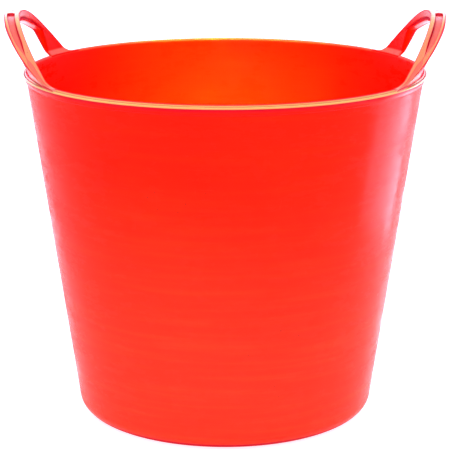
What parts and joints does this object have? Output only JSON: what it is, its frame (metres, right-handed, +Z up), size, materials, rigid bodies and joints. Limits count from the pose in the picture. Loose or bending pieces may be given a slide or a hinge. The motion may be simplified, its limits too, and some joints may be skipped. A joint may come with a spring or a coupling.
{
  "type": "flexible mixing tub",
  "caption": "Round, tapered, flexible plastic tub with a flared bead lip and moulded handles standing at opposite sides of the rim, for mixing and carrying mortar.",
  "frame": {"origin": "centre of the tub's foot, on the floor", "axes": "+Z up along the tub's axis; the handles stand at -X (left) and +X (right); -Y is the front"},
  "size_m": [0.4766, 0.44, 0.445],
  "materials": {
    "tub_plastic": "satin red-orange low-density polyethylene, slightly translucent"
  },
  "bodies": {
    "tub": {"floor": "tub_plastic", "bottom_corner": "tub_plastic", "side_wall": "tub_plastic", "rim": "tub_plastic", "left_front_root": "tub_plastic", "left_rear_root": "tub_plastic", "right_front_root": "tub_plastic", "right_rear_root": "tub_plastic"},
    "left_handle": {"left_handle": "tub_plastic"},
    "right_handle": {"right_handle": "tub_plastic"}
  },
  "joints": [
    {"name": "left_handle_flex", "type": "hinge", "parent": "tub", "child": "left_handle", "pos_m": [-0.19075, 0, 0.391], "axis": [0, 1, 0], "range_deg": [-15, 45], "stiffness_Nm_per_rad": 2},
    {"name": "right_handle_flex", "type": "hinge", "parent": "tub", "child": "right_handle", "pos_m": [0.19075, 0, 0.391], "axis": [0, -1, 0], "range_deg": [-15, 45], "stiffness_Nm_per_rad": 2}
  ]
}
